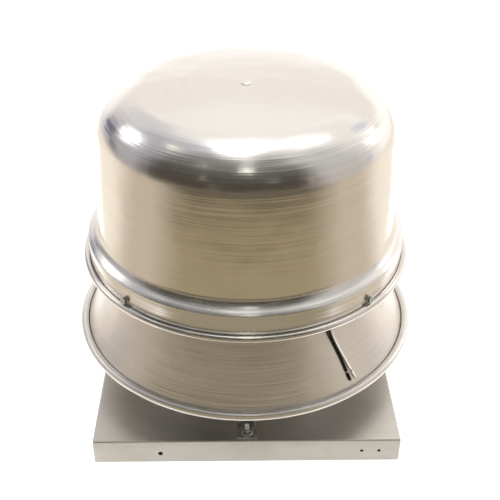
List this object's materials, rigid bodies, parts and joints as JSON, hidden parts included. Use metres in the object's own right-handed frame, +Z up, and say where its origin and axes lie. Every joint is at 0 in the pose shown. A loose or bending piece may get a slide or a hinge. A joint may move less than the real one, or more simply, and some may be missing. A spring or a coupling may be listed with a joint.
{
  "type": "centrifugal exhaust fan",
  "caption": "Square-based rooftop centrifugal exhaust fan with a spun motor cover, a flared downblast shroud and a backward-curved wheel.",
  "frame": {"origin": "middle of the curb cap's skirt at its lower edge, on the fan's axis", "axes": "+Z up along the fan's axis, -Y towards the front side of the curb cap, +X to the right seen from the front"},
  "size_m": [0.5759, 0.576, 0.5542],
  "materials": {
    "spun_aluminium": "spun aluminium, satin with fine turning lines",
    "cap_aluminium": "folded sheet aluminium, dull mill finish",
    "wheel_aluminium": "sheet aluminium, mill finish",
    "hub_aluminium": "cast aluminium, turned bore",
    "rivet_aluminium": "bright rivet heads",
    "galvanised_steel": "galvanised sheet steel",
    "zinc_fastener": "zinc plated",
    "motor_paint": "black enamel",
    "lamination_steel": "stacked laminations",
    "winding_copper": "varnished copper",
    "bearing_steel": "ground steel",
    "shaft_steel": "ground steel",
    "rubber": "black rubber",
    "plug_plastic": "grey plug",
    "black_insulation": "black insulation",
    "white_insulation": "white insulation"
  },
  "bodies": {
    "housing": {"motor_cover": "spun_aluminium", "shroud": "spun_aluminium", "inlet_venturi": "spun_aluminium", "curb_cap": "cap_aluminium", "venturi_rivets": "rivet_aluminium", "support_leg_right": "galvanised_steel", "support_leg_back": "galvanised_steel", "support_leg_left": "galvanised_steel", "support_leg_front": "galvanised_steel", "motor_plate": "galvanised_steel", "motor_mount": "galvanised_steel", "cover_bracket_back_right": "galvanised_steel", "cover_bracket_back_left": "galvanised_steel", "cover_bracket_front_left": "galvanised_steel", "cover_bracket_front_right": "galvanised_steel", "leg_studs": "zinc_fastener", "leg_washers": "zinc_fastener", "leg_nuts": "zinc_fastener", "plate_bolts": "zinc_fastener", "plate_nuts": "zinc_fastener", "shroud_screws": "zinc_fastener", "bracket_screws": "zinc_fastener", "isolator_bolts": "zinc_fastener", "isolator_nuts": "zinc_fastener", "cover_bolts": "zinc_fastener", "cover_clip_nuts": "zinc_fastener", "tie_bolts": "zinc_fastener", "tie_nuts": "zinc_fastener", "motor_lower_bell": "motor_paint", "motor_upper_bell": "motor_paint", "motor_shell": "motor_paint", "stator_core": "lamination_steel", "stator_windings": "winding_copper", "lower_bearing": "bearing_steel", "upper_bearing": "bearing_steel", "vibration_mounts": "rubber", "lead_grommet": "rubber", "centre_plug": "plug_plastic", "lead_black": "black_insulation", "lead_black_end": "black_insulation", "lead_white": "white_insulation", "lead_white_end": "white_insulation"},
    "impeller": {"motor_shaft": "shaft_steel", "rotor_core": "lamination_steel", "wheel_hub": "hub_aluminium", "hub_rivets": "rivet_aluminium", "hub_setscrews": "zinc_fastener", "wheel_backplate": "wheel_aluminium", "wheel_cone": "wheel_aluminium", "wheel_blade_1": "wheel_aluminium", "wheel_blade_2": "wheel_aluminium", "wheel_blade_3": "wheel_aluminium", "wheel_blade_4": "wheel_aluminium", "wheel_blade_5": "wheel_aluminium", "wheel_blade_6": "wheel_aluminium", "wheel_blade_7": "wheel_aluminium", "wheel_blade_8": "wheel_aluminium", "wheel_blade_9": "wheel_aluminium"}
  },
  "joints": [
    {"name": "impeller_spin", "type": "hinge", "parent": "housing", "child": "impeller", "pos_m": [0, 0, 0.26], "axis": [0, 0, 1], "continuous": true}
  ]
}
